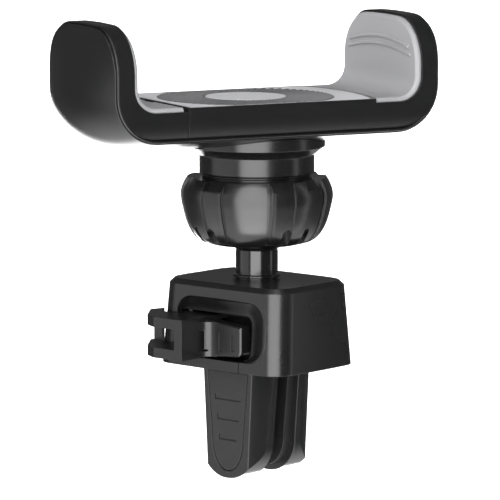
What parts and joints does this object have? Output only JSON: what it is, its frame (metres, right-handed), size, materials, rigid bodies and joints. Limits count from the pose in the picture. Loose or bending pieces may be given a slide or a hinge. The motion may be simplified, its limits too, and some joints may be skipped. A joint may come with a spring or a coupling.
{
  "type": "air vent phone holder",
  "caption": "Phone cradle with a sprung sliding jaw on a ball joint with a lock nut, held by a spring clip that grips a car's air vent blade.",
  "frame": {"origin": "middle of the gap between the two clip pads, on the main axis, 11.4 mm above the paddle tips", "axes": "+Z along the main axis, away from the vent and towards the phone; +X along the cradle towards its fixed jaw; the clip is swivelled by -68 degrees about Z, as in the picture"},
  "size_m": [0.0789, 0.0388, 0.0957],
  "materials": {
    "housing_plastic": "satin black, fine grain",
    "ball_plastic": "polished black",
    "steel": "plain steel",
    "lever_plastic": "satin black",
    "paddle_plastic": "satin black",
    "clip_rubber": "matt black",
    "grip_rubber": "matt black",
    "liner_plastic": "slick black",
    "collar_plastic": "satin black",
    "cover_plastic": "satin black",
    "cradle_plastic": "satin black",
    "platform_plastic": "grey, satin",
    "ring_rubber": "matt black",
    "disc_metal": "satin grey",
    "pale_rubber": "matt light grey",
    "nut_plastic": "satin to gloss black"
  },
  "bodies": {
    "vent_clip": {"clip_housing": "housing_plastic", "lever_keeper": "housing_plastic", "ball_stem": "ball_plastic", "stem_nut": "steel", "jaw_pins": "steel", "lever_pin": "steel", "jaw_spring": "steel"},
    "lever": {"release_lever": "lever_plastic"},
    "front_jaw": {"front_jaw_shell": "paddle_plastic", "front_jaw_pad": "clip_rubber", "front_jaw_grip": "grip_rubber"},
    "rear_jaw": {"rear_jaw_shell": "paddle_plastic", "rear_jaw_pad": "clip_rubber", "rear_jaw_grip": "grip_rubber"},
    "upper_liner": {"upper_ball_liner": "liner_plastic"},
    "lower_liner": {"lower_ball_liner": "liner_plastic"},
    "cradle": {"socket_collar": "collar_plastic", "socket_screw": "steel", "back_cover": "cover_plastic", "cradle_frame": "cradle_plastic", "platform_plate": "platform_plastic", "grip_ring": "ring_rubber", "centre_disc": "disc_metal", "fixed_jaw_pad": "pale_rubber", "return_springs": "steel"},
    "nut": {"lock_nut": "nut_plastic"},
    "sliding_jaw": {"sliding_jaw_frame": "cradle_plastic", "sliding_jaw_cover": "cover_plastic", "sliding_jaw_pad": "pale_rubber"}
  },
  "joints": [
    {"name": "lever_turn", "type": "hinge", "parent": "vent_clip", "child": "lever", "pos_m": [-0.01194, 0.00661, 0.0199], "axis": [0, 0, 1], "range_deg": [0, 7], "stiffness_Nm_per_rad": 0.05, "springref_deg": -5.73},
    {"name": "front_jaw_open", "type": "hinge", "parent": "vent_clip", "child": "front_jaw", "pos_m": [-0.00389, -0.00157, 0.0165], "axis": [-0.3746, 0.9272, 0], "range_deg": [0, 9.8], "deforming": ["jaw_spring"]},
    {"name": "rear_jaw_open", "type": "hinge", "parent": "vent_clip", "child": "rear_jaw", "pos_m": [0.00389, 0.00157, 0.0165], "axis": [0.3746, -0.9272, 0], "range_deg": [0, 9.8], "deforming": ["jaw_spring"]},
    {"name": "tilt_x", "type": "hinge", "parent": "vent_clip", "child": "upper_liner", "pos_m": [0, 0, 0.04305], "axis": [1, 0, 0], "range_deg": [-14, 14]},
    {"name": "tilt_y", "type": "hinge", "parent": "upper_liner", "child": "lower_liner", "pos_m": [0, 0, 0.04305], "axis": [0, 1, 0], "range_deg": [-14, 14]},
    {"name": "cradle_swivel", "type": "hinge", "parent": "lower_liner", "child": "cradle", "pos_m": [0, 0, 0.04305], "axis": [0, 0, 1], "continuous": true},
    {"name": "nut_turn", "type": "hinge", "parent": "cradle", "child": "nut", "pos_m": [0, 0, 0.04305], "axis": [0, 0, 1], "range_deg": [0, 180]},
    {"name": "jaw_slide", "type": "slide", "parent": "cradle", "child": "sliding_jaw", "axis": [-1, 0, 0], "range_m": [0, 0.022], "stiffness_N_per_m": 200, "springref_m": -0.01, "deforming": ["return_springs"]}
  ],
  "couplings": [
    {"joint": "front_jaw_open", "follows": "lever_turn", "ratio": 1.4},
    {"joint": "rear_jaw_open", "follows": "lever_turn", "ratio": 1.4}
  ]
}
